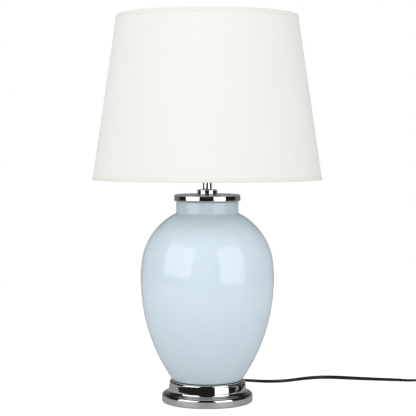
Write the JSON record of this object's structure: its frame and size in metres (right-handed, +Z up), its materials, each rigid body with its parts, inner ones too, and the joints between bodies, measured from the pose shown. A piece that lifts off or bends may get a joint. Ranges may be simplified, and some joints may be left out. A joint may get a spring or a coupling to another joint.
{
  "type": "table lamp",
  "caption": "Table lamp with a tapered fabric shade on a glazed ginger-jar body and a polished stepped round base, with a screw-in bulb and a flat flex with in-line switch and plug.",
  "frame": {"origin": "centre of the underside of the felt pad, on the surface the lamp stands on", "axes": "+Z up along the lamp's own axis; the flex leaves the back of the base along +Y and runs off towards +X"},
  "size_m": [0.6288, 0.3563, 0.5601],
  "materials": {
    "felt": "dense felt",
    "steel_plate": "zinc plated sheet",
    "ballast_iron": "rough casting",
    "chrome": "polished plate",
    "black_rubber": "moulded",
    "glazed_ceramic": "glossy pale blue glaze",
    "clear_washer": "soft",
    "threaded_steel": "yellow zinc plate",
    "white_nylon": "moulded",
    "screw_steel": "zinc plated",
    "black_flex": "satin extruded",
    "brown_core": "extruded",
    "blue_core": "extruded",
    "black_holder": "moulded",
    "steatite": "fired",
    "brass": "stamped",
    "opal_glass": "opal",
    "bulb_aluminium": "rolled thread",
    "black_glass": "vitrite",
    "solder": "soldered",
    "shade_fabric": "fine plain weave",
    "shade_lining": "calendered sheet",
    "shade_tape": "folded tape",
    "white_wire": "powder coat",
    "tie_plastic": "moulded",
    "switch_black": "moulded, fine texture",
    "plug_black": "moulded",
    "pin_nickel": "nickel plated"
  },
  "bodies": {
    "lamp": {"felt_pad": "felt", "base_plate": "steel_plate", "base_ballast": "ballast_iron", "base_shell": "chrome", "seat_washer": "black_rubber", "ceramic_jar": "glazed_ceramic", "neck_washer": "clear_washer", "neck_cap": "chrome", "stem_disc": "chrome", "stem_tube": "chrome", "threaded_rod": "threaded_steel", "rod_washer": "screw_steel", "rod_nut": "screw_steel", "flex_clamp": "white_nylon", "clamp_screws": "screw_steel", "strain_relief": "black_rubber", "inner_flex": "black_flex", "live_core": "brown_core", "neutral_core": "blue_core", "holder_cap": "black_holder", "holder_body": "black_holder", "terminal_block": "steatite", "terminal_screws": "brass", "thread_shell": "brass", "centre_contact": "brass", "flex_run": "black_flex", "flex_link": "black_flex", "flex_coil": "black_flex", "flex_tail": "black_flex", "flex_tie": "tie_plastic", "switch_base": "switch_black", "switch_cover": "switch_black", "switch_screws": "screw_steel", "switch_contacts": "brass", "plug_body": "plug_black", "plug_sleeves": "plug_black", "plug_pins": "pin_nickel"},
    "shade": {"shade_fabric": "shade_fabric", "shade_lining": "shade_lining", "shade_top_hem": "shade_tape", "shade_low_hem": "shade_tape", "shade_top_wire": "white_wire", "shade_low_wire": "white_wire", "shade_arms": "white_wire", "shade_carrier": "white_wire"},
    "clamp_ring": {"shade_clamp_ring": "black_holder"},
    "bulb": {"bulb_glass": "opal_glass", "bulb_screw_cap": "bulb_aluminium", "bulb_insulator": "black_glass", "bulb_tip": "solder"},
    "rocker": {"switch_rocker": "switch_black"}
  },
  "joints": [
    {"name": "shade_turn", "type": "hinge", "parent": "lamp", "child": "shade", "pos_m": [0, 0, 0.377], "axis": [0, 0, 1], "continuous": true},
    {"name": "ring_turn", "type": "hinge", "parent": "lamp", "child": "clamp_ring", "pos_m": [0, 0, 0.383], "axis": [0, 0, 1], "continuous": true},
    {"name": "bulb_turn", "type": "hinge", "parent": "lamp", "child": "bulb", "pos_m": [0, 0, 0.39], "axis": [0, 0, 1], "continuous": true},
    {"name": "rocker_tip", "type": "hinge", "parent": "lamp", "child": "rocker", "pos_m": [0.381, 0.16, 0.013], "axis": [0, 1, 0], "range_deg": [-20, 0]}
  ]
}
